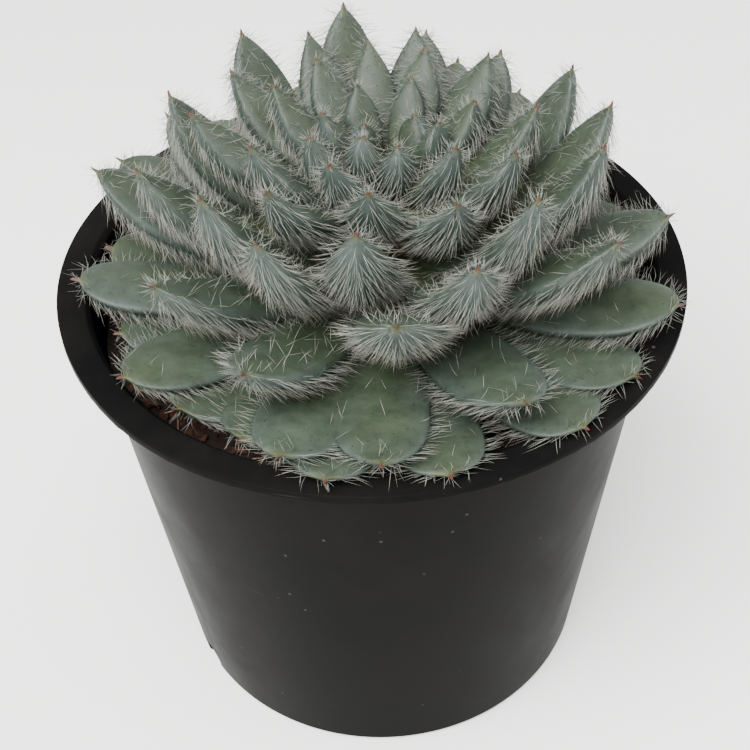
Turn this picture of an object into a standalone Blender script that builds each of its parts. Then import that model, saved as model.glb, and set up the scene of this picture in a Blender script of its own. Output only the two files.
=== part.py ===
"""Hairy rosette succulent growing in a round nursery pot.

Every leaf, the stem, the tight heart of the rosette, the potting mix and the pot are separate solids.
Lengths below are in millimetres and angles in degrees; the model is built in metres, +Z up, with the
origin at the middle of the pot's foot.
"""

import math

import bmesh
import bpy
from mathutils import Matrix, Vector, noise

MM = 0.001
GAP = 0.3  # clearance between neighbouring pieces

# Pot: one tapered moulding with an outward rim whose lip turns down.
POT_HEIGHT = 102.0
RIM_RADIUS = 63.5
SHOULDER_RADIUS = 58.0  # outside of the wall, just under the rim
FOOT_RADIUS = 47.8
WALL = 1.2
RIM_THICKNESS = 1.2
LIP_DROP = 2.0
LIP_THICKNESS = 1.0
RIM_ROUND = 0.6
FLOOR_RISE = 1.5  # the floor stands this far above the foot ring
FLOOR_THICKNESS = 1.6
FOOT_RING_WIDTH = 6.0
FOOT_CHAMFER = 0.8
POT_SIDES = 64
NOTCH_RADIUS = 3.2
NOTCH_HEIGHT = 2.2
NOTCH_AZIMUTHS = (30, 210)
DRAIN_RADIUS = 3.0
DRAIN_CIRCLE = 24.0
DRAIN_COUNT = 4

# Potting mix, level a little below the rim.
MIX_DEPTH_BELOW_RIM = 11.0
MIX_SIDES = 40
MIX_RINGS = 8
MIX_ROUGHNESS = 0.9
MIX_GRAIN = 11.0

# Rosette: its axis stands slightly off the pot's axis. Heights are measured from the rim.
AXIS_X = 3.7
AXIS_Y = -1.3
STEM_RADIUS = 7.0
STEM_TOP = 15.0
STEM_BURIED = 15.0
STEM_SIDES = 20
STEM_KNOBBLE = 0.35

LEAF_SECTION_SIDES = 8
LEAF_STATIONS = (0.0, 0.16, 0.34, 0.52, 0.68, 0.81, 0.91, 0.97)
HEART_SECTION_SIDES = 6
HEART_STATIONS = (0.0, 0.25, 0.5, 0.72, 0.88, 0.96)
WIDEST_AT = 0.66  # share of the leaf's length
THICKEST_AT = 0.5
NECK = 0.34  # width where the leaf leaves the stem, as a share of its greatest width
UPPER_SHARE = 0.4  # share of the thickness above the margins; the rest is the rounded back

# Each tier: height where its leaves leave the stem, how far they curve up, and the blade's size.
# Each leaf: azimuth, reach of its tip from the rosette's axis, and height of its tip.
TIERS = {
    "skirt_leaf": {
        "base_height": -7.0,
        "curve": 8.0,
        "width": 15.5,
        "thickness": 2.8,
        "leaves": (
            (12, 52, 1), (36, 55, 2), (60, 60, 3), (85, 60, 3), (110, 60, 2), (134, 59, 2),
            (154, 57, 1), (173, 59, 2), (198, 57, 0), (224, 57, 0), (240, 57, 1), (258, 63, 3),
            (278, 62, 3), (303, 61, 3), (319, 59, 3), (350, 51, 1),
        ),
    },
    "lower_leaf": {
        "base_height": -1.0,
        "curve": 22.0,
        "width": 16.5,
        "thickness": 3.1,
        "leaves": (
            (8, 50, 6), (34, 55, 8), (58, 60, 9), (83, 60, 8), (108, 61, 9), (132, 60, 8),
            (155, 63, 11), (188, 63, 7), (215, 62, 5), (250, 62, 6), (267, 62, 7), (293, 57, 11),
            (336, 60, 8),
        ),
    },
    "middle_leaf": {
        "base_height": 3.5,
        "curve": 46.0,
        "width": 16.0,
        "thickness": 3.6,
        "leaves": (
            (17, 46, 18), (42, 46, 18), (70, 50, 20), (98, 51, 22), (125, 52, 22), (150, 52, 22),
            (177, 57, 25), (216, 53, 23), (242, 56, 18), (270, 50, 28), (323, 50, 28), (350, 55, 18),
        ),
    },
    "upper_leaf": {
        "base_height": 8.5,
        "curve": 66.0,
        "width": 14.0,
        "thickness": 3.6,
        "leaves": (
            (0, 42, 37), (18, 38, 38), (48, 36, 33), (75, 37, 33), (101, 38, 39), (133, 41, 38),
            (167, 42, 37), (190, 47, 32), (217, 41, 37), (238, 43, 36), (261, 38, 38), (288, 45, 34),
            (310, 39, 38), (341, 41, 37),
        ),
    },
}

# Leaves of the heart, joined where they grow out of one growing point.
HEART_BASE_HEIGHT = 15.4
HEART_RADIUS = 6.0
HEART_CORE_HEIGHT = 7.0
HEART_ROUND = 2.0
HEART_TIERS = (
    {
        "base_height": 17.0,
        "curve": 56.0,
        "width": 11.5,
        "thickness": 4.0,
        "leaves": (
            (356, 28, 38), (40, 27, 38), (76, 29, 38), (117, 32, 38), (153, 33, 38), (180, 36, 38),
            (205, 27, 38), (230, 33, 38), (262, 27, 38), (290, 33, 38), (324, 28, 38),
        ),
    },
    {
        "base_height": 18.5,
        "curve": 36.0,
        "width": 9.0,
        "thickness": 4.4,
        "leaves": (
            (67, 22, 38), (96, 24, 38), (126, 22, 38), (157, 23, 38), (209, 16, 37), (240, 21, 38),
            (313, 18, 37), (7, 17, 37),
        ),
    },
    {
        "base_height": 20.0,
        "curve": 20.0,
        "width": 6.5,
        "thickness": 4.2,
        "leaves": (
            (67, 14, 36), (115, 12, 36), (173, 12, 36), (232, 7, 35), (284, 8, 34), (350, 10, 35),
            (25, 6, 34), (160, 4, 33),
        ),
    },
)

COLOURS = {
    "pot_plastic": ((0.012, 0.012, 0.013), 0.42),
    "potting_mix": ((0.022, 0.013, 0.009), 0.95),
    "stem_bark": ((0.16, 0.13, 0.07), 0.8),
    "leaf_skin": ((0.13, 0.21, 0.14), 0.6),
}


def make_material(name):
    """Principled material of that name, with the piece's colour and roughness."""
    colour, roughness = COLOURS[name]
    material = bpy.data.materials.new(name)
    material.use_nodes = True
    shader = material.node_tree.nodes["Principled BSDF"]
    shader.inputs["Base Color"].default_value = (*colour, 1.0)
    shader.inputs["Roughness"].default_value = roughness
    shader.inputs["Metallic"].default_value = 0.0
    return material


def add_object(name, mesh_builder, material):
    """One named object from a bmesh in millimetres, shaded smooth, in metres."""
    bmesh.ops.recalc_face_normals(mesh_builder, faces=mesh_builder.faces)
    mesh_builder.transform(Matrix.Scale(MM, 4))
    mesh = bpy.data.meshes.new(name)
    mesh_builder.to_mesh(mesh)
    mesh_builder.free()
    mesh.materials.append(material)
    mesh.shade_smooth()
    mesh.set_sharp_from_angle(angle=math.radians(35))
    part = bpy.data.objects.new(name, mesh)
    bpy.context.scene.collection.objects.link(part)
    return part


def turn_profile(profile, sides):
    """Closed solid turned round +Z from (radius, height) points that start and end on the axis."""
    bm = bmesh.new()
    points = [bm.verts.new((radius, 0.0, height)) for radius, height in profile]
    edges = [bm.edges.new(pair) for pair in zip(points, points[1:])]
    bmesh.ops.spin(
        bm,
        geom=points + edges,
        cent=(0, 0, 0),
        axis=(0, 0, 1),
        angle=math.tau,
        steps=sides,
        use_merge=True,
    )
    bmesh.ops.remove_doubles(bm, verts=bm.verts, dist=0.001)
    return bm


def cut(part, cutter, operation="DIFFERENCE"):
    """Boolean modifier on part; the other shape stays as a hidden wire guide."""
    cutter.hide_render = True
    cutter.display_type = "WIRE"
    modifier = part.modifiers.new(cutter.name, "BOOLEAN")
    modifier.operation = operation
    modifier.solver = "EXACT"
    modifier.object = cutter
    return modifier


def inner_wall_radius(height):
    """Inside radius of the pot at a height above its foot."""
    share = height / (POT_HEIGHT - RIM_THICKNESS)
    return FOOT_RADIUS + (SHOULDER_RADIUS - FOOT_RADIUS) * share - WALL


def make_rosette_axis():
    """Empty at rim height on the rosette's axis, which the stem, the heart and the leaves hang from."""
    rosette = bpy.data.objects.new("rosette_axis", None)
    rosette.location = (AXIS_X * MM, AXIS_Y * MM, POT_HEIGHT * MM)
    bpy.context.scene.collection.objects.link(rosette)
    return rosette


def make_pot(material):
    top = POT_HEIGHT
    foot_inner = FOOT_RADIUS - FOOT_RING_WIDTH
    floor_top = FLOOR_RISE + FLOOR_THICKNESS
    profile = (
        (0.0, FLOOR_RISE),
        (foot_inner - FLOOR_RISE, FLOOR_RISE),
        (foot_inner, 0.0),
        (FOOT_RADIUS - FOOT_CHAMFER, 0.0),
        (FOOT_RADIUS, FOOT_CHAMFER),
        (SHOULDER_RADIUS, top - RIM_THICKNESS),
        (RIM_RADIUS - LIP_THICKNESS, top - RIM_THICKNESS),
        (RIM_RADIUS - LIP_THICKNESS, top - LIP_DROP),
        (RIM_RADIUS, top - LIP_DROP),
        (RIM_RADIUS, top - RIM_ROUND),
        (RIM_RADIUS - RIM_ROUND, top),
        (SHOULDER_RADIUS, top),
        (inner_wall_radius(top), top - 2 * RIM_ROUND),
        (inner_wall_radius(floor_top), floor_top),
        (0.0, floor_top),
    )
    pot = add_object("pot", turn_profile(profile, POT_SIDES), material)
    for azimuth in NOTCH_AZIMUTHS:
        cut(pot, make_notch_cutter(azimuth))
    for index in range(DRAIN_COUNT):
        cut(pot, make_drain_cutter(45 + index * 360 / DRAIN_COUNT))


def make_rod(name, radius, length, matrix):
    """Plain capped rod used as a cutter, centred on its own middle before the matrix places it."""
    bm = bmesh.new()
    bmesh.ops.create_cone(
        bm,
        cap_ends=True,
        segments=16,
        radius1=radius,
        radius2=radius,
        depth=length,
        matrix=matrix,
    )
    return add_object(name, bm, None)


def make_notch_cutter(azimuth):
    """Round notch through the corner of wall and floor, for water to drain sideways."""
    along_x = Matrix.Rotation(math.radians(90), 4, "Y")
    place = Matrix.Translation((FOOT_RADIUS, 0, NOTCH_HEIGHT))
    turn = Matrix.Rotation(math.radians(azimuth), 4, "Z")
    return make_rod(f"cutter_notch_{azimuth}", NOTCH_RADIUS, 2 * FOOT_RING_WIDTH - 2, turn @ place @ along_x)


def make_drain_cutter(azimuth):
    """Round drain hole through the floor."""
    place = Matrix.Rotation(math.radians(azimuth), 4, "Z") @ Matrix.Translation((DRAIN_CIRCLE, 0, FLOOR_RISE))
    return make_rod(f"cutter_drain_{azimuth:.0f}", DRAIN_RADIUS, 4 * FLOOR_THICKNESS, place)


def make_potting_mix(material):
    """Body of mix that fills the pot, with a lightly uneven top and a socket for the stem."""
    bottom = FLOOR_RISE + FLOOR_THICKNESS + GAP
    top = POT_HEIGHT - MIX_DEPTH_BELOW_RIM
    edge = inner_wall_radius(top) - 2 * GAP
    profile = [(0.0, bottom), (inner_wall_radius(bottom) - 2 * GAP, bottom)]
    profile += [(edge * (MIX_RINGS - ring) / MIX_RINGS, top) for ring in range(MIX_RINGS + 1)]
    bm = turn_profile(profile, MIX_SIDES)
    for vert in bm.verts:
        if vert.co.z > top - GAP and vert.co.xy.length < edge - GAP:
            vert.co.z += MIX_ROUGHNESS * noise.noise(vert.co / MIX_GRAIN)
    mix = add_object("potting_mix", bm, material)
    depth = STEM_BURIED + GAP
    place = Matrix.Translation((AXIS_X, AXIS_Y, top - depth / 2 + MIX_ROUGHNESS))
    socket_depth = depth + 2 * MIX_ROUGHNESS
    cut(mix, make_rod("cutter_stem_socket", STEM_RADIUS + STEM_KNOBBLE + GAP, socket_depth, place))


def make_stem(material, rosette):
    """Short thick stem with the shallow rings left by fallen leaves."""
    bottom = GAP - MIX_DEPTH_BELOW_RIM - STEM_BURIED
    top = STEM_TOP
    rings = 8
    profile = [(0.0, bottom)]
    for ring in range(rings + 1):
        swell = STEM_KNOBBLE * (ring % 2)
        profile.append((STEM_RADIUS - STEM_KNOBBLE + swell, bottom + (top - bottom) * ring / rings))
    profile.append((0.0, top))
    stem = add_object("stem", turn_profile(profile, STEM_SIDES), material)
    stem.parent = rosette


def width_share(t):
    """Width along the leaf, as a share of its greatest width: a narrow neck, a broad blade, a pointed end."""
    if t < WIDEST_AT:
        return NECK + (1 - NECK) * math.sin(math.pi / 2 * t / WIDEST_AT) ** 1.4
    end = (t - WIDEST_AT) / (1 - WIDEST_AT)
    return max(0.0, 1 - end**2.3) ** 0.8


def thickness_share(t):
    """Thickness along the leaf, as a share of its greatest thickness."""
    if t < THICKEST_AT:
        return 0.6 + 0.4 * math.sin(math.pi / 2 * t / THICKEST_AT)
    end = (t - THICKEST_AT) / (1 - THICKEST_AT)
    return max(0.0, 1 - end**2.6) ** 0.7


def add_leaf(bm, azimuth, tip, tier, base_distance, clear_angle, stations, sides):
    """Adds one closed leaf round the rosette's axis, from the stem to its tip (reach, height).

    The midline is an arc in a plane through the axis, and turns up by the tier's curve.
    clear_angle is half the angle free of neighbours on the same tier, and the blade stays inside it.
    """
    base = (base_distance, tier["base_height"])
    turned = Matrix.Rotation(math.radians(azimuth), 4, "Z")
    chord = math.dist(base, tip)
    slope = math.atan2(tip[1] - base[1], tip[0] - base[0])
    turn = math.radians(tier["curve"])
    arc_radius = chord / 2 / math.sin(turn / 2)
    start = slope - turn / 2
    rings = []
    for t in stations:
        heading = start + turn * t
        distance = base[0] + arc_radius * (math.sin(heading) - math.sin(start))
        height = base[1] + arc_radius * (math.cos(start) - math.cos(heading))
        free = distance * math.sin(math.radians(clear_angle)) - GAP
        half_width = min(tier["width"] / 2 * width_share(t), free)
        depth = tier["thickness"] * thickness_share(t)
        ring = []
        for corner in range(sides):
            angle = math.tau * corner / sides
            lift = math.sin(angle) * depth * (UPPER_SHARE if math.sin(angle) > 0 else 1 - UPPER_SHARE)
            x = distance - math.sin(heading) * lift
            z = height + math.cos(heading) * lift
            ring.append(bm.verts.new(turned @ Vector((x, math.cos(angle) * half_width, z))))
        rings.append(ring)
    point = bm.verts.new(turned @ Vector((tip[0], 0.0, tip[1])))
    bm.faces.new(rings[0])
    for lower, upper in zip(rings, rings[1:]):
        for corner in range(sides):
            following = (corner + 1) % sides
            bm.faces.new((lower[corner], lower[following], upper[following], upper[corner]))
    for corner in range(sides):
        bm.faces.new((rings[-1][corner], rings[-1][(corner + 1) % sides], point))


def clear_angles(azimuths):
    """Half the angle from each azimuth to its nearest neighbour on the same tier."""
    found = []
    for azimuth in azimuths:
        others = [abs((azimuth - other + 180) % 360 - 180) for other in azimuths if other != azimuth]
        found.append(min(others) / 2)
    return found


def make_leaves(material, rosette):
    """Every separate leaf, tier by tier, from the skirt that lies over the rim upwards."""
    base_distance = STEM_RADIUS + STEM_KNOBBLE + GAP
    for tier_name, tier in TIERS.items():
        free = clear_angles([leaf[0] for leaf in tier["leaves"]])
        for number, (azimuth, *tip) in enumerate(tier["leaves"], 1):
            bm = bmesh.new()
            add_leaf(bm, 0, tip, tier, base_distance, free[number - 1], LEAF_STATIONS, LEAF_SECTION_SIDES)
            leaf = add_object(f"{tier_name}_{number:02d}", bm, material)
            leaf.rotation_euler.z = math.radians(azimuth)
            leaf.parent = rosette


def make_heart(material, rosette):
    """Growing point with its tightly packed young leaves, joined into one body."""
    core_top = HEART_BASE_HEIGHT + HEART_CORE_HEIGHT
    profile = (
        (0.0, HEART_BASE_HEIGHT),
        (HEART_RADIUS, HEART_BASE_HEIGHT),
        (HEART_RADIUS, core_top - HEART_ROUND),
        (HEART_RADIUS / 2, core_top),
        (0.0, core_top),
    )
    heart = add_object("rosette_heart", turn_profile(profile, STEM_SIDES), material)
    bm = bmesh.new()
    for tier in HEART_TIERS:
        for azimuth, *tip in tier["leaves"]:
            base_distance = min(HEART_RADIUS, tip[0]) / 2
            add_leaf(bm, azimuth, tip, tier, base_distance, 90, HEART_STATIONS, HEART_SECTION_SIDES)
    union = cut(heart, add_object("cutter_heart_leaves", bm, material), "UNION")
    union.use_self = True
    keep_outer_skin(heart)
    heart.parent = rosette


def keep_outer_skin(part):
    """Applies the part's modifiers and drops the pockets that its joined pieces close off inside it."""
    evaluated = part.evaluated_get(bpy.context.evaluated_depsgraph_get())
    bm = bmesh.new()
    bm.from_mesh(evaluated.data)
    part.modifiers.clear()
    waiting = set(bm.faces)
    skins = []
    while waiting:
        skin = [waiting.pop()]
        for face in skin:
            near = {other for edge in face.edges for other in edge.link_faces} & waiting
            waiting -= near
            skin.extend(near)
        skins.append(skin)
    skins.sort(key=len)
    bmesh.ops.delete(bm, geom=[face for skin in skins[:-1] for face in skin], context="FACES")
    bm.to_mesh(part.data)
    bm.free()


def main():
    for old in list(bpy.data.objects):
        bpy.data.objects.remove(old)
    materials = {name: make_material(name) for name in COLOURS}
    make_pot(materials["pot_plastic"])
    make_potting_mix(materials["potting_mix"])
    rosette = make_rosette_axis()
    make_stem(materials["stem_bark"], rosette)
    make_leaves(materials["leaf_skin"], rosette)
    make_heart(materials["leaf_skin"], rosette)


main()
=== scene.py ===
# Hairy rosette succulent in a black nursery pot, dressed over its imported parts.
import math

import bmesh
import bpy
import numpy as np
from mathutils import Matrix, Vector, noise


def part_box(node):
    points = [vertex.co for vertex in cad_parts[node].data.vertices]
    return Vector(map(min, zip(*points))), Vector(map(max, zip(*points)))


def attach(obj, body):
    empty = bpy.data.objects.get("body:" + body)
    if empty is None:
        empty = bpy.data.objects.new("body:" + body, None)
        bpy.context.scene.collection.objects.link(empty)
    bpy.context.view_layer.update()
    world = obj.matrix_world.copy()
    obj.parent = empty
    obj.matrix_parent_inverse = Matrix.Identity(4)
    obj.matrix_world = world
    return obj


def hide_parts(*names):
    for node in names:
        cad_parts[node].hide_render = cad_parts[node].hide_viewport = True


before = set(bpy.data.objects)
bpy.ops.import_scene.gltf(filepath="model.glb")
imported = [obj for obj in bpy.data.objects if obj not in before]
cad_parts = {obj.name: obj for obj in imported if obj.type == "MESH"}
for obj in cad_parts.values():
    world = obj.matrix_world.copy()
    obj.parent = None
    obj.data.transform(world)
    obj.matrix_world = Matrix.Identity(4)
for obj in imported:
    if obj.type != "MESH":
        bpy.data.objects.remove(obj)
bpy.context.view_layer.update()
rng = np.random.default_rng(11)
noise.seed_set(11)  # noise_vector follows the clock without this

# lengths in this script are millimetres until a piece is finished
toMetres = Matrix.Scale(0.001, 4)
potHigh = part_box("pot")[1] * 1000
stemLow, stemHigh = (corner * 1000 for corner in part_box("stem"))
mixLow, mixHigh = (corner * 1000 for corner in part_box("potting_mix"))
rimRadius = potHigh.x
rimTop = potHigh.z
crown = Vector(((stemLow.x + stemHigh.x) / 2, (stemLow.y + stemHigh.y) / 2, rimTop))
print("frame loaded, rim", round(rimRadius, 1), "mm, crown", [round(c, 1) for c in crown])


def hexColour(text):
    channels = [int(text[i:i + 2], 16) / 255 for i in (1, 3, 5)]
    return [c / 12.92 if c <= 0.04045 else ((c + 0.055) / 1.055) ** 2.4 for c in channels] + [1.0]


def addNode(tree, kind, inputs=None, stops=None, **settings):
    node = tree.nodes.new("ShaderNode" + kind)
    for key, value in settings.items():
        setattr(node, key, value)
    for key, value in (inputs or {}).items():
        if isinstance(value, bpy.types.NodeSocket):
            tree.links.new(value, node.inputs[key])
        else:
            node.inputs[key].default_value = value
    for place, (position, colour) in enumerate(stops or []):
        elements = node.color_ramp.elements
        element = elements[place] if place < len(elements) else elements.new(position)
        element.position = position
        element.color = hexColour(colour) if isinstance(colour, str) else (colour, colour, colour, 1)
    return node


def newMaterial(name, colour, roughness, ior):
    material = bpy.data.materials.new(name)
    material.use_nodes = True
    shader = material.node_tree.nodes["Principled BSDF"]
    shader.inputs["Base Color"].default_value = hexColour(colour)
    shader.inputs["Roughness"].default_value = roughness
    shader.inputs["IOR"].default_value = ior
    return material, material.node_tree, shader


def finishPiece(name, bm, material, nodes=(), sharpAngle=50):
    bm.transform(toMetres)
    mesh = bpy.data.meshes.new(name)
    bm.to_mesh(mesh)
    bm.free()
    return placePiece(name, mesh, material, nodes, sharpAngle)


def placePiece(name, mesh, material, nodes=(), sharpAngle=50):
    mesh.materials.append(material)
    mesh.shade_smooth()
    mesh.set_sharp_from_angle(angle=math.radians(sharpAngle))
    piece = bpy.data.objects.new(name, mesh)
    bpy.context.scene.collection.objects.link(piece)
    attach(piece, "root")
    if nodes:
        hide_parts(*nodes)
    return piece


# leaf skin: waxy succulent epidermis, matte, powdery blue-grey bloom over green
leafLook = {
    "green": "#333e2a",  # upper faces
    "bloom": "#3d4845",  # powdery wax, strongest on the backs
    "neck": "#2c3419",  # yellow-green where the leaf leaves the stem, darkened with painted shade for the crowded base
    "tipGreen": "#44461f",
    "tipRed": "#40201a",
    "speck": "#171b14",
    "mottleSize": 5.0,
    "speckSpacing": 1.4,
}


def makeLeafMaterial():
    look = leafLook
    material, tree, shader = newMaterial("waxyLeafSkin", look["green"], 0.58, 1.42)
    objectPlace = addNode(tree, "TexCoord").outputs["Object"]
    alongLeaf = addNode(tree, "Attribute", attribute_name="along").outputs["Fac"]
    backShare = addNode(tree, "Attribute", attribute_name="back").outputs["Fac"]
    # broad green and bloom patches a few millimetres wide
    mottle = addNode(tree, "TexNoise", {"Vector": objectPlace, "Scale": 1000 / look["mottleSize"],
                                        "Detail": 9.0, "Roughness": 0.72})
    patches = addNode(tree, "TexNoise", {"Vector": objectPlace, "Scale": 60.0, "Detail": 2.0})
    bloomAmount = addNode(tree, "Math", {0: backShare, 1: patches.outputs["Fac"]}, operation="ADD")
    bloomShare = addNode(tree, "MapRange", {"Value": bloomAmount.outputs[0], "From Min": 0.3,
                                             "From Max": 1.25})
    base = addNode(tree, "MixRGB", {"Fac": bloomShare.outputs[0], "Color1": hexColour(look["green"]),
                                    "Color2": hexColour(look["bloom"])})
    mottleShade = addNode(tree, "ValToRGB", {"Fac": mottle.outputs["Fac"]},
                          stops=[(0.3, "#a3a89c"), (0.7, "#ffffff")])
    mottled = addNode(tree, "MixRGB", {"Fac": 1.0, "Color1": base.outputs[0],
                                       "Color2": mottleShade.outputs[0]}, blend_type="MULTIPLY")
    # yellow-green neck, darkened with painted shade where the leaves crowd at the base, then yellow-green and
    # red-brown at the tip
    # the darker neck colour is partly the leaf's own yellow-green and partly painted shade between the
    # crowded leaf bases
    neckGreenAndShadeShare = addNode(tree, "MapRange", {"Value": alongLeaf, "From Min": 0.62, "From Max": 0.15,
                                           "To Max": 0.7})
    neckGreenAndShaded = addNode(tree, "MixRGB", {"Fac": neckGreenAndShadeShare.outputs[0], "Color1": mottled.outputs[0],
                                      "Color2": hexColour(look["neck"])})
    wobble = addNode(tree, "Math", {0: mottle.outputs["Fac"], 1: 0.03, 2: alongLeaf},
                     operation="MULTIPLY_ADD")
    tipShare = addNode(tree, "MapRange", {"Value": wobble.outputs[0], "From Min": 0.96, "From Max": 0.995,
                                          "To Max": 0.85})
    tipped = addNode(tree, "MixRGB", {"Fac": tipShare.outputs[0], "Color1": neckGreenAndShaded.outputs[0],
                                      "Color2": hexColour(look["tipGreen"])})
    redShare = addNode(tree, "MapRange", {"Value": wobble.outputs[0], "From Min": 0.98, "From Max": 1.0})
    reddened = addNode(tree, "MixRGB", {"Fac": redShare.outputs[0], "Color1": tipped.outputs[0],
                                        "Color2": hexColour(look["tipRed"])})
    # scattered dark specks under half a millimetre across
    cells = addNode(tree, "TexVoronoi", {"Vector": objectPlace, "Scale": 1000 / look["speckSpacing"]})
    chance = addNode(tree, "SeparateColor", {"Color": cells.outputs["Color"]})
    rare = addNode(tree, "Math", {0: chance.outputs[0], 1: 0.68}, operation="GREATER_THAN")
    near = addNode(tree, "MapRange", {"Value": cells.outputs["Distance"], "From Min": 0.24, "From Max": 0.1})
    speckShare = addNode(tree, "Math", {0: rare.outputs[0], 1: near.outputs[0]}, operation="MULTIPLY")
    softSpeck = addNode(tree, "Math", {0: speckShare.outputs[0], 1: 0.75}, operation="MULTIPLY")
    specked = addNode(tree, "MixRGB", {"Fac": softSpeck.outputs[0], "Color1": reddened.outputs[0],
                                       "Color2": hexColour(look["speck"])})
    tree.links.new(specked.outputs[0], shader.inputs["Base Color"])
    rough = addNode(tree, "MapRange", {"Value": mottle.outputs["Fac"], "To Min": 0.48, "To Max": 0.68})
    tree.links.new(rough.outputs[0], shader.inputs["Roughness"])
    grain = addNode(tree, "TexNoise", {"Vector": objectPlace, "Scale": 2200.0, "Detail": 3.0})
    bump = addNode(tree, "Bump", {"Height": grain.outputs["Fac"], "Strength": 0.22, "Distance": 0.0002})
    tree.links.new(bump.outputs[0], shader.inputs["Normal"])
    shader.inputs["Subsurface Weight"].default_value = 0.08
    shader.inputs["Subsurface Scale"].default_value = 0.002
    return material


# hair: fine glassy bristles, off-white, a little green at the root
hairLook = {"root": "#525d4e", "shaft": "#858b83", "tip": "#9b8f86"}


def makeHairMaterial():
    material, tree, shader = newMaterial("glassyBristle", hairLook["shaft"], 0.42, 1.5)
    place = addNode(tree, "UVMap", uv_map="OFBake").outputs["UV"]
    split = addNode(tree, "SeparateXYZ", {"Vector": place})
    shade = addNode(tree, "ValToRGB", {"Fac": split.outputs["X"]},
                    stops=[(0.0, hairLook["root"]), (1.0, hairLook["tip"]), (0.35, hairLook["shaft"])])
    each = addNode(tree, "ValToRGB", {"Fac": split.outputs["Y"]}, stops=[(0.0, "#b6b6ae"), (1.0, "#ffffff")])
    tinted = addNode(tree, "MixRGB", {"Fac": 1.0, "Color1": shade.outputs[0], "Color2": each.outputs[0]},
                     blend_type="MULTIPLY")
    tree.links.new(tinted.outputs[0], shader.inputs["Base Color"])
    return material


# leaves
leafTiers = {
    "skirt_leaf": dict(curve=8, width=18.0, thick=4.6, neck=0.45, point=3.6, blunt=0.46, keel=0.0,
                       backSpacing=1.15, backFrom=0.45, faceHairs=16, hairLength=4.2),
    "lower_leaf": dict(curve=22, width=18.0, thick=5.2, neck=0.42, point=3.0, blunt=0.54, keel=0.05,
                       backSpacing=0.92, backFrom=0.35, faceHairs=22, hairLength=4.5),
    "middle_leaf": dict(curve=46, width=15.8, thick=6.4, neck=0.42, point=2.3, blunt=0.70, keel=0.14,
                        backSpacing=0.84, backFrom=0.30, faceHairs=90, hairLength=4.5),
    "upper_leaf": dict(curve=66, width=12.8, thick=6.2, neck=0.45, point=2.0, blunt=0.80, keel=0.18,
                       backSpacing=0.82, backFrom=0.32, faceHairs=130, hairLength=4.3),
}
# young leaves of the heart, as azimuth, reach and height of the tip over the rim
heartTiers = [
    dict(curve=56, width=10.6, thick=5.6, neck=0.5, point=1.6, blunt=0.9, keel=0.2, baseHeight=17.0,
         backSpacing=0.8, backFrom=0.35, faceHairs=110, hairLength=3.9,
         tips=[(356, 28, 38), (40, 27, 38), (76, 29, 38), (117, 32, 38), (153, 33, 38), (180, 36, 38),
               (205, 27, 38), (230, 33, 38), (262, 27, 38), (290, 33, 38), (324, 28, 38)]),
    dict(curve=36, width=8.6, thick=5.2, neck=0.5, point=1.6, blunt=0.9, keel=0.2, baseHeight=18.5,
         backSpacing=0.78, backFrom=0.35, faceHairs=70, hairLength=3.4,
         tips=[(67, 22, 38), (96, 24, 38), (126, 22, 38), (157, 23, 38), (209, 16, 37), (240, 21, 38),
               (313, 18, 37), (7, 17, 37)]),
    dict(curve=20, width=7.0, thick=4.8, neck=0.5, point=1.6, blunt=0.9, keel=0.2, baseHeight=20.0,
         backSpacing=0.78, backFrom=0.3, faceHairs=30, hairLength=3.0,
         tips=[(67, 14, 36), (115, 12, 36), (173, 12, 36), (232, 7, 35), (284, 8, 34), (350, 10, 35),
               (25, 6, 34), (160, 4, 33)]),
]
leafShape = {
    "widestAt": 0.66, "thickestAt": 0.5, "bladeEnd": 0.965,  # shares of the leaf's length
    "swell": 1.3,  # how late the blade widens
    "neckThick": 0.6, "thickPoint": 2.5, "thickBlunt": 0.7,
    "closing": 0.04,  # rounded end at the stem
    "spikeRadius": 0.66, "spikeLength": 0.05, "spikeTaper": 0.8, "spikeDepth": 1.6,
    "faceShare": 0.36, "faceFlat": 0.85,  # the face is flatter than the back
    "keelWidth": 0.3,
    "waves": 7.0,
    "poleShare": 1.3,  # closer rings towards the tip
}


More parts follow.
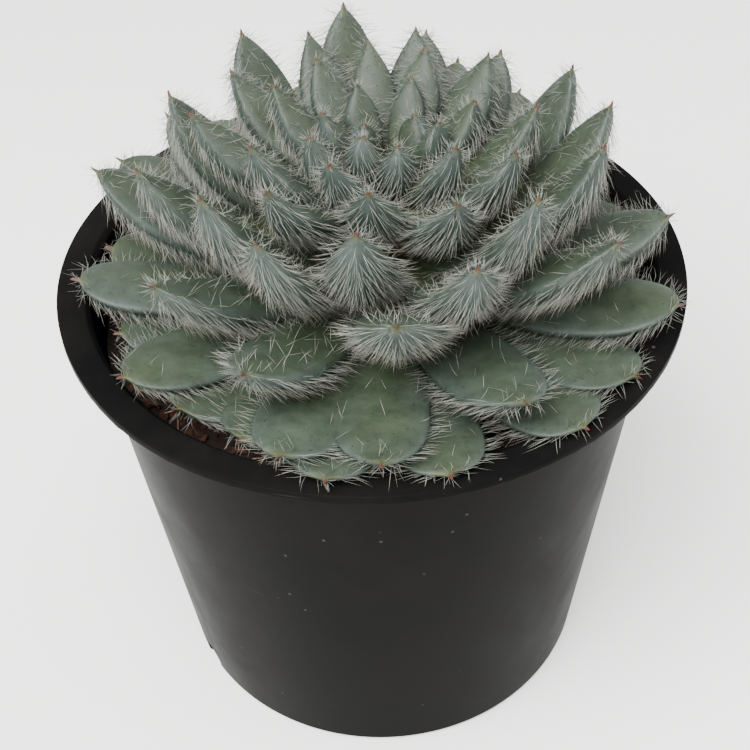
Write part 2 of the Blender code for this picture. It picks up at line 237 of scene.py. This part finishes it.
def leafPoints(leaf, along, around):
    # along runs from the stem to the tip, around is 0 and pi at the margins
    shape = leafShape
    tier = leaf["tier"]
    (baseReach, baseHeight), (tipReach, tipHeight) = leaf["base"], leaf["tip"]
    chord = math.hypot(tipReach - baseReach, tipHeight - baseHeight)
    turn = math.radians(tier["curve"] + leaf["bend"])
    arcRadius = chord / 2 / math.sin(turn / 2)
    start = math.atan2(tipHeight - baseHeight, tipReach - baseReach) - turn / 2
    heading = start + turn * along
    reach = baseReach + arcRadius * (np.sin(heading) - math.sin(start))
    height = baseHeight + arcRadius * (math.cos(start) - np.cos(heading))
    blade = np.clip(along / shape["bladeEnd"], 0, 1)
    rising = np.clip(blade / shape["widestAt"], 0, 1)
    falling = np.clip((blade - shape["widestAt"]) / (1 - shape["widestAt"]), 0, 1)
    width = tier["neck"] + (1 - tier["neck"]) * np.sin(math.pi / 2 * rising) ** shape["swell"]
    width = width * (1 - falling ** tier["point"]) ** tier["blunt"]
    falling = np.clip((blade - shape["thickestAt"]) / (1 - shape["thickestAt"]), 0, 1)
    rising = np.clip(blade / shape["thickestAt"], 0, 1)
    thick = shape["neckThick"] + (1 - shape["neckThick"]) * np.sin(math.pi / 2 * rising)
    thick = thick * (1 - falling ** shape["thickPoint"]) ** shape["thickBlunt"]
    closing = np.sqrt(1 - (1 - np.clip(along / shape["closing"], 0, 1)) ** 2)
    spike = shape["spikeRadius"] * np.clip((1 - along) / shape["spikeLength"], 0, 1) ** shape["spikeTaper"]
    halfWidth = np.hypot(leaf["width"] / 2 * width, spike) * closing
    depth = np.hypot(leaf["thick"] * thick, spike * shape["spikeDepth"]) * closing
    across = np.cos(around)
    lift = np.sin(around)
    faceLift = shape["faceShare"] * np.clip(lift, 0, 1) ** shape["faceFlat"]
    keel = tier["keel"] * np.exp(-(across / shape["keelWidth"]) ** 2) * np.clip(-lift, 0, 1)
    backLift = (1 - shape["faceShare"]) * np.clip(-lift, 0, 1) + keel
    ripple = leaf["wave"] * np.sin(along * shape["waves"] + leaf["phase"]) * across
    up = depth * (faceLift - backLift) + ripple
    side = across * halfWidth
    roll = leaf["roll"] * along
    side, up = side * np.cos(roll) - up * np.sin(roll), side * np.sin(roll) + up * np.cos(roll)
    side = side + leaf["swing"] * (along * (1 - along)) * 4
    out = np.stack([reach - np.sin(heading) * up, side, height + np.cos(heading) * up], axis=-1)
    turned = np.array(Matrix.Rotation(leaf["azimuth"], 3, "Z"))
    return out @ turned.T + np.array(crown)


def makeLeaf(tier, azimuth, base, tip, sway=1.0):
    return {"tier": tier, "azimuth": azimuth, "base": base, "tip": tip,
            "bend": rng.normal(0, 2.5) * sway, "width": tier["width"] * rng.uniform(0.94, 1.05),
            "thick": tier["thick"] * rng.uniform(0.93, 1.07), "roll": math.radians(rng.normal(0, 4.5)) * sway,
            "swing": rng.normal(0, 0.5) * sway, "wave": rng.uniform(0.1, 0.4), "phase": rng.uniform(0, 6.3)}


def cadLeaf(node, tier):
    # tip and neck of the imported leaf, measured from the crown
    points = np.unique(np.round([v.co * 1000 for v in node.data.vertices], 3), axis=0) - np.array(crown)
    reach = np.hypot(points[:, 0], points[:, 1])
    neck = points[np.argsort(reach)[:8]]
    neckReach, neckHeight = float(np.hypot(neck[:, 0], neck[:, 1]).mean()), float(neck[:, 2].mean())
    tip = points[np.argmax(np.hypot(reach - neckReach, points[:, 2] - neckHeight))]
    azimuth = math.atan2(tip[1], tip[0])
    return makeLeaf(tier, azimuth, (neckReach, neckHeight), (math.hypot(tip[0], tip[1]), float(tip[2])))


def addLeafBody(bm, leaf, sides=28, rings=40):
    # a ball drawn out along the leaf, its poles at the neck and at the tip
    made = bmesh.ops.create_uvsphere(bm, u_segments=sides, v_segments=rings, radius=1)["verts"]
    ball = np.array([v.co for v in made])
    along = 1 - (1 - np.arccos(np.clip(-ball[:, 2], -1, 1)) / math.pi) ** leafShape["poleShare"]
    around = np.arctan2(ball[:, 1], ball[:, 0])
    alongLayer = bm.verts.layers.float["along"]
    backLayer = bm.verts.layers.float["back"]
    for vert, place, a, turn in zip(made, leafPoints(leaf, along, around), along, around):
        vert.co = place
        vert[alongLayer] = a
        vert[backLayer] = 0.5 - 0.5 * math.sin(turn)
    return made


def startLeafMesh():
    bm = bmesh.new()
    bm.verts.layers.float.new("along")
    bm.verts.layers.float.new("back")
    return bm


# bristles
bristle = {
    "radius": 0.045, "sides": 3, "rings": (0.4, 0.75), "taper": (1.6, 0.8),
    "marginSpacing": 0.55, "marginFrom": 0.22, "marginTo": 0.965, "backTo": 0.955, "backDensity": 1.15,
    "tuft": 22, "sink": 0.05, "lowest": 1.0,
    "backScale": 0.98, "marginScale": 1.05, "faceScale": 0.85, "tuftScale": 0.8,
    "mapWidth": 0.03,
}


def leafMiddle(leaf, along):
    margins = [leafPoints(leaf, along, np.full_like(along, side)) for side in (0.0, math.pi)]
    return (margins[0] + margins[1]) / 2


def surfaceFrames(leaf, along, around):
    # point, outward normal and run towards the tip, by small steps on the surface
    step = 0.01
    here = leafPoints(leaf, along, around)
    run = leafPoints(leaf, np.clip(along + step, 0, 0.99), around) - leafPoints(leaf, along - step, around)
    turn = leafPoints(leaf, along, around + step) - leafPoints(leaf, along, around - step)
    run /= np.linalg.norm(run, axis=1, keepdims=True) + 1e-9
    turn /= np.linalg.norm(turn, axis=1, keepdims=True) + 1e-9
    normal = np.cross(turn, run)
    normal /= np.linalg.norm(normal, axis=1, keepdims=True) + 1e-9
    middle = leafMiddle(leaf, along)
    outward = np.sign(np.sum((here - middle) * normal, axis=1, keepdims=True))
    return here, normal * outward, run


def leafBristles(leaf):
    # roots, directions, bends and lengths of every bristle on one leaf
    tier = leaf["tier"]
    length = math.dist(leaf["base"], leaf["tip"]) * (1 + (tier["curve"] / 57.3) ** 2 / 24)
    groups = []
    # back: even rows, combed down from the tip and outwards from the keel
    spacing = tier["backSpacing"]
    rows = np.arange(tier["backFrom"], bristle["backTo"], spacing / length)
    for row in rows:
        wide = np.linalg.norm(np.subtract(*leafPoints(leaf, np.full(2, row), np.array([0, math.pi]))))
        count = max(2, int(wide * bristle["backDensity"] / spacing))
        turns = -np.arccos(1 - 2 * (np.arange(count) + rng.uniform(0.2, 0.8)) / count)
        groups.append((np.full(count, row), turns, np.full(count, 1)))
    # margins: a dense fringe
    fringe = np.arange(bristle["marginFrom"], bristle["marginTo"], bristle["marginSpacing"] / length)
    for side in (0.0, math.pi):
        groups.append((fringe, side + rng.normal(0, 0.16, len(fringe)), np.full(len(fringe), 2)))
    # face: a few lying loosely
    loose = tier["faceHairs"]
    groups.append((rng.uniform(0.4, 0.93, loose), rng.uniform(0.25, math.pi - 0.25, loose),
                   np.full(loose, 3)))
    # tuft round the spike
    tuft = bristle["tuft"]
    groups.append((rng.uniform(0.93, 0.975, tuft), rng.uniform(0, 2 * math.pi, tuft), np.full(tuft, 4)))
    along, around, kind = (np.concatenate(column) for column in zip(*groups))
    along = np.clip(along + rng.normal(0, 0.3 * spacing / length, len(along)), 0.05, 0.978)
    around = around + np.where(kind == 1, rng.normal(0, 0.05, len(along)), 0)
    here, normal, run = surfaceFrames(leaf, along, around)
    # sideways means away from the leaf's middle line
    middle = leafMiddle(leaf, along)
    edge = leafPoints(leaf, along, np.zeros_like(along)) - middle
    edge /= np.linalg.norm(edge, axis=1, keepdims=True) + 1e-9
    sideShare = np.sum((here - middle) * edge, axis=1, keepdims=True)
    sideShare = np.clip(sideShare / (leaf["width"] / 2), -1, 1)
    sideways = edge * sideShare
    noiseWay = rng.normal(0, 1, here.shape)
    kindColumn = kind[:, None]
    combed = normal * 0.5 - run * 0.85 + sideways * 0.55 + noiseWay * 0.1
    fringed = (edge * np.sign(sideShare) + normal * 0.12 + noiseWay * 0.12
               + run * rng.normal(-0.15, 0.18, (len(along), 1)))
    lying = normal * 0.3 - run * 0.35 + noiseWay * 0.4
    tufted = normal + run * rng.uniform(-0.3, 0.6, (len(along), 1)) + noiseWay * 0.15
    way = np.select([kindColumn == 1, kindColumn == 2, kindColumn == 3], [combed, fringed, lying], tufted)
    way /= np.linalg.norm(way, axis=1, keepdims=True)
    scales = [bristle["backScale"], bristle["marginScale"], bristle["faceScale"]]
    size = tier["hairLength"] * np.select([kind == 1, kind == 2, kind == 3], scales, bristle["tuftScale"])
    size = size * rng.uniform(0.68, 1.15, len(along)) * np.clip((1 - along) * 9 + 0.5, 0, 1)
    bend = np.where(kindColumn == 1, -run * 0.25 + sideways * 0.1, 0) + rng.normal(0, 0.13, here.shape)
    return here - normal * bristle["sink"], way, bend, size


def addBristles(name, leaves, material):
    roots, ways, bends, sizes = (np.concatenate(part) for part in zip(*(leafBristles(l) for l in leaves)))
    count = len(roots)
    # one straight bristle, then a bent copy of it at every root
    bm = bmesh.new()
    bmesh.ops.create_cone(bm, cap_ends=True, segments=bristle["sides"], radius1=1, radius2=0, depth=1,
                          matrix=Matrix.Translation((0, 0, 0.5)))
    for height in bristle["rings"]:
        bmesh.ops.bisect_plane(bm, geom=bm.verts[:] + bm.edges[:] + bm.faces[:], dist=1e-6,
                               plane_co=(0, 0, height), plane_no=(0, 0, 1))
    bm.verts.ensure_lookup_table()
    model = np.array([v.co for v in bm.verts])
    faces = [[v.index for v in f.verts] for f in bm.faces]
    bm.free()
    level = model[:, 2]
    ringRadius = np.maximum(np.hypot(model[:, 0], model[:, 1]), 1e-9)
    late, slow = bristle["taper"]
    taper = (1 - level ** late) ** slow  # slender, but not a needle from the root up
    flat = model[:, :2] / ringRadius[:, None] * np.where(ringRadius > 1e-6, taper, 0)[:, None]
    helper = np.where(np.abs(ways[:, 2:3]) < 0.8, [[0, 0, 1.0]], [[1.0, 0, 0]])
    first = np.cross(ways, helper)
    first /= np.linalg.norm(first, axis=1, keepdims=True)
    second = np.cross(ways, first)
    radius = bristle["radius"] * rng.uniform(0.8, 1.2, count)
    line = ways[:, None] * level[None, :, None] + bends[:, None] * (level ** 2)[None, :, None]
    places = roots[:, None] + line * sizes[:, None, None]
    places = places + (first[:, None] * flat[None, :, 0:1] + second[:, None] * flat[None, :, 1:2]
                       ) * radius[:, None, None]
    places[..., 2] = np.maximum(places[..., 2], bristle["lowest"])
    corners = [corner for face in faces for corner in face]
    size = len(model)
    mesh = bpy.data.meshes.new(name)
    loops = (np.array(corners)[None] + np.arange(count)[:, None] * size).ravel()
    sidesOf = np.tile([len(face) for face in faces], count)
    mesh.vertices.add(count * size)
    mesh.vertices.foreach_set("co", (places * 0.001).astype(np.float32).ravel())
    mesh.loops.add(len(loops))
    mesh.loops.foreach_set("vertex_index", loops.astype(np.int32))
    mesh.polygons.add(len(sidesOf))
    mesh.polygons.foreach_set("loop_start", np.concatenate([[0], np.cumsum(sidesOf)[:-1]]).astype(np.int32))
    mesh.update(calc_edges=True)
    mesh.validate()
    # a map of root-to-tip against tint, every side with some width so that it can be baked
    uvLayer = mesh.uv_layers.new(name="OFBake")
    girth = (np.arctan2(model[:, 1], model[:, 0]) / (2 * math.pi) % 1) * bristle["mapWidth"]
    tints = np.repeat(rng.uniform(0, 1 - bristle["mapWidth"], count), len(corners))
    uvs = np.stack([np.tile(level[corners], count), tints + np.tile(girth[corners], count)], axis=1)
    uvLayer.uv.foreach_set("vector", uvs.astype(np.float32).ravel())
    placePiece(name, mesh, material, sharpAngle=180)
    print(name, count, "bristles,", count * sum(len(f) - 2 for f in faces), "triangles")


def makeRosette():
    skin = makeLeafMaterial()
    hair = makeHairMaterial()
    for tierName, tier in leafTiers.items():
        leaves = []
        for nodeName in sorted(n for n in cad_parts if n.startswith(tierName)):
            leaf = cadLeaf(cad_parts[nodeName], tier)
            bm = startLeafMesh()
            addLeafBody(bm, leaf)
            finishPiece(nodeName.replace("_leaf_", "Leaf"), bm, skin, [nodeName], 80)
            leaves.append(leaf)
        addBristles(tierName.replace("_leaf", "LeafHairs"), leaves, hair)
    bm = startLeafMesh()
    leaves = []
    for tier in heartTiers:
        for azimuth, reach, height in tier["tips"]:
            base = (min(6.0, reach) / 2, tier["baseHeight"])
            leaf = makeLeaf(tier, math.radians(azimuth), base, (reach, height), 0.6)
            addLeafBody(bm, leaf, 20, 28)
            leaves.append(leaf)
    finishPiece("heartLeaves", bm, skin, ["rosette_heart"], 80)
    addBristles("heartHairs", leaves, hair)


makeRosette()
print("rosette done")


# stem: short, fleshy, ringed by the scars of fallen leaves
stemLook = {"bark": "#6d6a3c", "scar": "#4a3b26", "sides": 40, "rings": 18}


def makeStem():
    material, tree, shader = newMaterial("scarredStem", stemLook["bark"], 0.75, 1.45)
    place = addNode(tree, "TexCoord").outputs["Object"]
    grain = addNode(tree, "TexNoise", {"Vector": place, "Scale": 500.0, "Detail": 5.0})
    shade = addNode(tree, "ValToRGB", {"Fac": grain.outputs["Fac"]},
                    stops=[(0.35, stemLook["scar"]), (0.65, stemLook["bark"])])
    tree.links.new(shade.outputs[0], shader.inputs["Base Color"])
    bump = addNode(tree, "Bump", {"Height": grain.outputs["Fac"], "Strength": 0.5, "Distance": 0.0005})
    tree.links.new(bump.outputs[0], shader.inputs["Normal"])
    radius = (stemHigh.x - stemLow.x) / 2
    bm = bmesh.new()
    bmesh.ops.create_cone(bm, cap_ends=True, segments=stemLook["sides"], radius1=radius, radius2=radius,
                          depth=stemHigh.z - stemLow.z)
    bm.transform(Matrix.Translation((crown.x, crown.y, (stemLow.z + stemHigh.z) / 2)))
    for ring in range(1, stemLook["rings"]):
        height = stemLow.z + (stemHigh.z - stemLow.z) * ring / stemLook["rings"]
        cutRing = bmesh.ops.bisect_plane(bm, geom=bm.verts[:] + bm.edges[:] + bm.faces[:], dist=1e-5,
                                         plane_co=(0, 0, height), plane_no=(0, 0, 1))["geom_cut"]
        for vert in (v for v in cutRing if isinstance(v, bmesh.types.BMVert)):
            swell = 1 - (0.09 if ring % 2 else 0.0) + 0.04 * noise.noise(vert.co / 2)
            vert.co.xy = crown.xy + (vert.co.xy - crown.xy) * min(1.0, swell)
    finishPiece("stemWithScars", bm, material, ["stem"], 60)


makeStem()


# pot: injection-moulded polypropylene, black, satin, dusty and a little scuffed
potLook = {"plastic": "#0e0e0e", "dust": "#6f675c", "sides": 240, "wall": 1.2, "lip": 2.0,
           "lipThickness": 1.0,
           "cornerRound": 0.28, "floorRise": 1.5, "floorThickness": 1.6, "footRing": 6.0, "footRadius": 47.8,
           "shoulderRadius": 58.0, "notchRadius": 3.2, "notchHeight": 2.2, "notchAzimuths": (30, 210),
           "drainRadius": 3.0, "drainCircle": 24.0}


def makePotMaterial():
    material, tree, shader = newMaterial("mouldedPolypropylene", potLook["plastic"], 0.4, 1.49)
    place = addNode(tree, "TexCoord").outputs["Object"]
    cloud = addNode(tree, "TexNoise", {"Vector": place, "Scale": 45.0, "Detail": 6.0, "Roughness": 0.65})
    haze = addNode(tree, "ValToRGB", {"Fac": cloud.outputs["Fac"]},
                   stops=[(0.35, "#0b0b0b"), (0.75, "#141312")])
    # dust and grit: specks about 0.3 mm across, a few millimetres apart
    cells = addNode(tree, "TexVoronoi", {"Vector": place, "Scale": 380.0})
    chance = addNode(tree, "SeparateColor", {"Color": cells.outputs["Color"]})
    rare = addNode(tree, "Math", {0: chance.outputs[0], 1: 0.9}, operation="GREATER_THAN")
    near = addNode(tree, "MapRange", {"Value": cells.outputs["Distance"], "From Min": 0.16, "From Max": 0.05})
    speck = addNode(tree, "Math", {0: rare.outputs[0], 1: near.outputs[0]}, operation="MULTIPLY")
    speckSoft = addNode(tree, "Math", {0: speck.outputs[0], 1: 0.25}, operation="MULTIPLY")
    # scuffs: thin streaks round the pot
    stretched = addNode(tree, "Mapping", {"Vector": place, "Scale": (60.0, 60.0, 1400.0)})
    streaks = addNode(tree, "TexNoise", {"Vector": stretched.outputs[0], "Scale": 1.0, "Detail": 4.0})
    scuff = addNode(tree, "MapRange", {"Value": streaks.outputs["Fac"], "From Min": 0.68, "From Max": 0.85,
                                       "To Max": 0.12})
    marks = addNode(tree, "Math", {0: speckSoft.outputs[0], 1: scuff.outputs[0]}, operation="MAXIMUM")
    dusty = addNode(tree, "MixRGB", {"Fac": marks.outputs[0], "Color1": haze.outputs[0],
                                     "Color2": hexColour(potLook["dust"])})
    tree.links.new(dusty.outputs[0], shader.inputs["Base Color"])
    rough = addNode(tree, "MapRange", {"Value": cloud.outputs["Fac"], "From Min": 0.3, "From Max": 0.7,
                                       "To Min": 0.3, "To Max": 0.42})
    tree.links.new(rough.outputs[0], shader.inputs["Roughness"])
    shader.inputs["Specular IOR Level"].default_value = 0.006
    bump = addNode(tree, "Bump", {"Height": cloud.outputs["Fac"], "Strength": 0.1, "Distance": 0.0003})
    tree.links.new(bump.outputs[0], shader.inputs["Normal"])
    return material


def cutHoles(piece, cutters):
    for cutter in cutters:
        hole = piece.modifiers.new(cutter.name, "BOOLEAN")
        hole.operation = "DIFFERENCE"
        hole.solver = "EXACT"
        hole.object = cutter
    evaluated = piece.evaluated_get(bpy.context.evaluated_depsgraph_get())
    mesh = bpy.data.meshes.new_from_object(evaluated)
    piece.modifiers.clear()
    piece.data = mesh
    for cutter in cutters:
        bpy.data.objects.remove(cutter)


def roundCutter(name, radius, length, place):
    bm = bmesh.new()
    bmesh.ops.create_cone(bm, cap_ends=True, segments=40, radius1=radius, radius2=radius, depth=length)
    bm.transform(toMetres @ place)
    mesh = bpy.data.meshes.new(name)
    bm.to_mesh(mesh)
    bm.free()
    cutter = bpy.data.objects.new(name, mesh)
    bpy.context.scene.collection.objects.link(cutter)
    return cutter


def innerRadius(height):
    share = height / (rimTop - potLook["wall"])
    flare = potLook["shoulderRadius"] - potLook["footRadius"]
    return potLook["footRadius"] + flare * share - potLook["wall"]


def makePot():
    look = potLook
    floorTop = look["floorRise"] + look["floorThickness"]
    ringInside = look["footRadius"] - look["footRing"]
    outline = [
        (0, look["floorRise"]), (ringInside - 1.5, look["floorRise"]), (ringInside, 0),
        (look["footRadius"] - 0.8, 0), (look["footRadius"], 0.8),
        (look["shoulderRadius"], rimTop - look["wall"]),
        (rimRadius - look["lipThickness"], rimTop - look["wall"]),
        (rimRadius - look["lipThickness"], rimTop - look["lip"]), (rimRadius, rimTop - look["lip"]),
        (rimRadius, rimTop), (look["shoulderRadius"], rimTop),
        (innerRadius(rimTop), rimTop - 1.2), (innerRadius(floorTop), floorTop), (0, floorTop),
    ]
    bm = bmesh.new()
    points = [bm.verts.new((x, 0, z)) for x, z in outline]
    edges = [bm.edges.new(pair) for pair in zip(points, points[1:])]
    bmesh.ops.spin(bm, geom=points + edges, cent=(0, 0, 0), axis=(0, 0, 1), angle=2 * math.pi,
                   steps=look["sides"], use_merge=True)
    bmesh.ops.remove_doubles(bm, verts=bm.verts, dist=0.001)
    bmesh.ops.recalc_face_normals(bm, faces=bm.faces)
    # rounded rim and foot corners
    corners = [e for e in bm.edges if len(e.link_faces) == 2 and e.calc_face_angle(0) > 0.6
               and abs(e.verts[0].co.z - e.verts[1].co.z) < 0.01 and e.verts[0].co.xy.length > ringInside + 1]
    bmesh.ops.bevel(bm, geom=corners, offset=look["cornerRound"], affect="EDGES", segments=3,
                    profile=0.5, material=-1)
    # the moulding is never quite true: slow waves, and a ragged flash along the lip's lower edge
    for vert in bm.verts:
        flat = vert.co.xy
        wave = 0.22 * noise.noise(Vector((vert.co.x / 35, vert.co.y / 35, vert.co.z / 45)))
        if flat.length > 5:
            vert.co.xy = flat * (1 + (wave - 0.11) / flat.length * (0.3 + 0.7 * vert.co.z / rimTop))
        if flat.length > rimRadius - 1.5 and vert.co.z < rimTop - look["lip"] + 0.35:
            vert.co.z += 0.28 * noise.noise(Vector((vert.co.x / 1.6, vert.co.y / 1.6, 3.1)))
    piece = finishPiece("nurseryPot", bm, makePotMaterial(), ["pot"], 38)
    cutters = []
    for azimuth in look["notchAzimuths"]:
        place = (Matrix.Rotation(math.radians(azimuth), 4, "Z")
                 @ Matrix.Translation((look["footRadius"], 0, look["notchHeight"]))
                 @ Matrix.Rotation(math.radians(90), 4, "Y"))
        cutters.append(roundCutter(f"notch{azimuth}", look["notchRadius"], 10, place))
    for azimuth in (45, 135, 225, 315):
        place = (Matrix.Rotation(math.radians(azimuth), 4, "Z")
                 @ Matrix.Translation((look["drainCircle"], 0, look["floorRise"])))
        cutters.append(roundCutter(f"drain{azimuth}", look["drainRadius"], 6.4, place))
    cutHoles(piece, cutters)


makePot()
print("pot done")


# potting mix: peat crumbs, coir chips, perlite and a few dry fibres
mixLook = {"peat": "#120c09", "peatLight": "#251811", "coir": "#4a2a1b", "coirDark": "#26150e",
           "perlite": "#8f8a7c", "straw": "#a98f78", "rings": 52, "sides": 200,
           "chips": 520, "grains": 34, "fibres": 90}


def makeCrumbMaterial(name, dark, light, grainSize, roughness=0.95):
    material, tree, shader = newMaterial(name, light, roughness, 1.4)
    place = addNode(tree, "TexCoord").outputs["Object"]
    grain = addNode(tree, "TexNoise", {"Vector": place, "Scale": 1000 / grainSize, "Detail": 6.0,
                                       "Roughness": 0.7})
    shade = addNode(tree, "ValToRGB", {"Fac": grain.outputs["Fac"]}, stops=[(0.38, dark), (0.66, light)])
    tree.links.new(shade.outputs[0], shader.inputs["Base Color"])
    bump = addNode(tree, "Bump", {"Height": grain.outputs["Fac"], "Strength": 0.8, "Distance": 0.0008})
    tree.links.new(bump.outputs[0], shader.inputs["Normal"])
    return material


def mixHeight(x, y):
    place = Vector((x, y, 0))
    return (mixHigh.z - 1.4 + 1.3 * noise.noise(place / 9) + 0.9 * noise.noise(place / 3.2)
            + 0.5 * noise.noise(place / 1.3))


def makeMix():
    bottom = mixLow.z
    edge = innerRadius(mixHigh.z) - 0.5
    outline = [(0, bottom), (innerRadius(bottom) - 0.6, bottom)]
    outline += [(edge * (1 - ring / mixLook["rings"]), mixHigh.z - 1) for ring in range(mixLook["rings"] + 1)]
    bm = bmesh.new()
    points = [bm.verts.new((x, 0, z)) for x, z in outline]
    edges = [bm.edges.new(pair) for pair in zip(points, points[1:])]
    bmesh.ops.spin(bm, geom=points + edges, cent=(0, 0, 0), axis=(0, 0, 1), angle=2 * math.pi,
                   steps=mixLook["sides"], use_merge=True)
    bmesh.ops.remove_doubles(bm, verts=bm.verts, dist=0.001)
    bmesh.ops.recalc_face_normals(bm, faces=bm.faces)
    for vert in bm.verts:
        if vert.co.z > mixHigh.z - 2:
            vert.co.z = mixHeight(vert.co.x, vert.co.y)
    peat = makeCrumbMaterial("peatCrumb", mixLook["peat"], mixLook["peatLight"], 2.2)
    finishPiece("peatMix", bm, peat, ["potting_mix"], 60)
    coir = makeCrumbMaterial("coirChip", mixLook["coirDark"], mixLook["coir"], 1.5)
    perlite = makeCrumbMaterial("perliteGrain", "#6b675b", mixLook["perlite"], 0.9, 0.9)
    straw = makeCrumbMaterial("dryStraw", "#7d6350", mixLook["straw"], 1.2, 0.7)
    scatterChips(coir, edge)
    scatterGrains(perlite, edge)
    scatterFibres(straw, edge)


def scatterSpot(edge):
    # chips gather where the mix shows, between the leaves and the wall
    radius = edge * math.sqrt(rng.uniform(0.25, 0.93))
    angle = rng.uniform(0, 2 * math.pi)
    return radius * math.cos(angle), radius * math.sin(angle)


def scatterChips(material, edge):
    bm = bmesh.new()
    for _ in range(mixLook["chips"]):
        x, y = scatterSpot(edge)
        size = rng.uniform(0.7, 2.6)
        turn = Matrix.Rotation(rng.uniform(0, 6.28), 4, "Z") @ Matrix.Rotation(rng.normal(0, 0.5), 4, "X")
        shape = Matrix.Diagonal((size * rng.uniform(1, 2.2), size * rng.uniform(0.4, 0.9),
                                 rng.uniform(0.3, 0.9), 1))
        place = Matrix.Translation((x, y, mixHeight(x, y) + 0.3)) @ turn @ shape
        made = bmesh.ops.create_icosphere(bm, subdivisions=1, radius=0.6, matrix=place)["verts"]
        for vert in made:
            vert.co += noise.noise_vector(vert.co * 1.3) * 0.35
    finishPiece("coirChips", bm, material, sharpAngle=25)


def scatterGrains(material, edge):
    bm = bmesh.new()
    for _ in range(mixLook["grains"]):
        x, y = scatterSpot(edge)
        place = Matrix.Translation((x, y, mixHeight(x, y) + 0.4))
        made = bmesh.ops.create_icosphere(bm, subdivisions=2, radius=rng.uniform(0.5, 1.5),
                                          matrix=place)["verts"]
        for vert in made:
            vert.co += noise.noise_vector(vert.co * 0.9) * 0.5
    finishPiece("perliteGrains", bm, material, sharpAngle=40)


def scatterFibres(material, edge):
    bm = bmesh.new()
    for _ in range(mixLook["fibres"]):
        x, y = scatterSpot(edge)
        length = rng.uniform(3, 9)
        tilt = Matrix.Rotation(rng.uniform(0, 6.28), 4, "Z") @ Matrix.Rotation(rng.normal(1.45, 0.15), 4, "Y")
        strand = bmesh.new()
        bmesh.ops.create_cone(strand, cap_ends=True, segments=5, radius1=0.16, radius2=0.08, depth=length)
        bmesh.ops.bisect_plane(strand, geom=strand.verts[:] + strand.edges[:] + strand.faces[:], dist=1e-5,
                               plane_co=(0, 0, 0), plane_no=(0, 0, 1))
        for vert in strand.verts:
            vert.co.x += length * 0.12 * (1 - (2 * vert.co.z / length) ** 2)
        strand.transform(Matrix.Translation((x, y, mixHeight(x, y) + 0.8)) @ tilt)
        mesh = bpy.data.meshes.new("strand")
        strand.to_mesh(mesh)
        strand.free()
        bm.from_mesh(mesh)
        bpy.data.meshes.remove(mesh)
    finishPiece("dryFibres", bm, material, sharpAngle=60)


makeMix()
print("potting mix done")


# studio
studio = {"floor": "#f4f4f2", "worldStrength": 1.3, "keyPower": 24.0, "fillPower": 5.0}
view = {"distance": 296.7, "elevation": 43.61, "roll": -2.22, "lens": 64.8, "aimX": -0.06, "aimZ": 70.3}


def makeStudio():
    bm = bmesh.new()
    bmesh.ops.create_grid(bm, x_segments=8, y_segments=8, size=3.0)
    mesh = bpy.data.meshes.new("studioFloor")
    bm.to_mesh(mesh)
    bm.free()
    floor = bpy.data.objects.new("studioFloor", mesh)
    bpy.context.scene.collection.objects.link(floor)
    material = newMaterial("paperSweep", studio["floor"], 0.9, 1.4)[0]  # matt coated paper, no gloss
    mesh.materials.append(material)
    world = bpy.data.worlds.new("softStudio")
    world.use_nodes = True
    sky = world.node_tree.nodes["Background"]
    sky.inputs["Color"].default_value = (1, 1, 1, 1)
    sky.inputs["Strength"].default_value = studio["worldStrength"]
    bpy.context.scene.world = world
    for name, power, size, place in (("keyLight", studio["keyPower"], 0.6, (-0.25, -0.35, 0.75)),
                                     ("fillLight", studio["fillPower"], 0.8, (0.55, 0.1, 0.6))):
        lamp = bpy.data.lights.new(name, "AREA")
        lamp.energy = power
        lamp.size = size
        light = bpy.data.objects.new(name, lamp)
        light.location = place
        light.rotation_euler = (Vector((0, 0, 0.08)) - Vector(place)).to_track_quat("-Z", "Y").to_euler()
        bpy.context.scene.collection.objects.link(light)
    lens = bpy.data.cameras.new("photoLens")
    lens.lens = view["lens"]
    lens.sensor_width = 36
    lens.clip_start = 0.01
    camera = bpy.data.objects.new("photoCamera", lens)
    bpy.context.scene.collection.objects.link(camera)
    lift = math.radians(view["elevation"])
    back = Vector((0, -math.cos(lift), math.sin(lift)))
    sight = (-back).to_track_quat("-Z", "Y").to_matrix() @ Matrix.Rotation(math.radians(view["roll"]), 3, "Z")
    camera.matrix_world = Matrix.Translation(Vector((view["aimX"], 0, view["aimZ"])) * 0.001
                                             + back * view["distance"] * 0.001) @ sight.to_4x4()
    bpy.context.scene.camera = camera


makeStudio()
print("studio done")
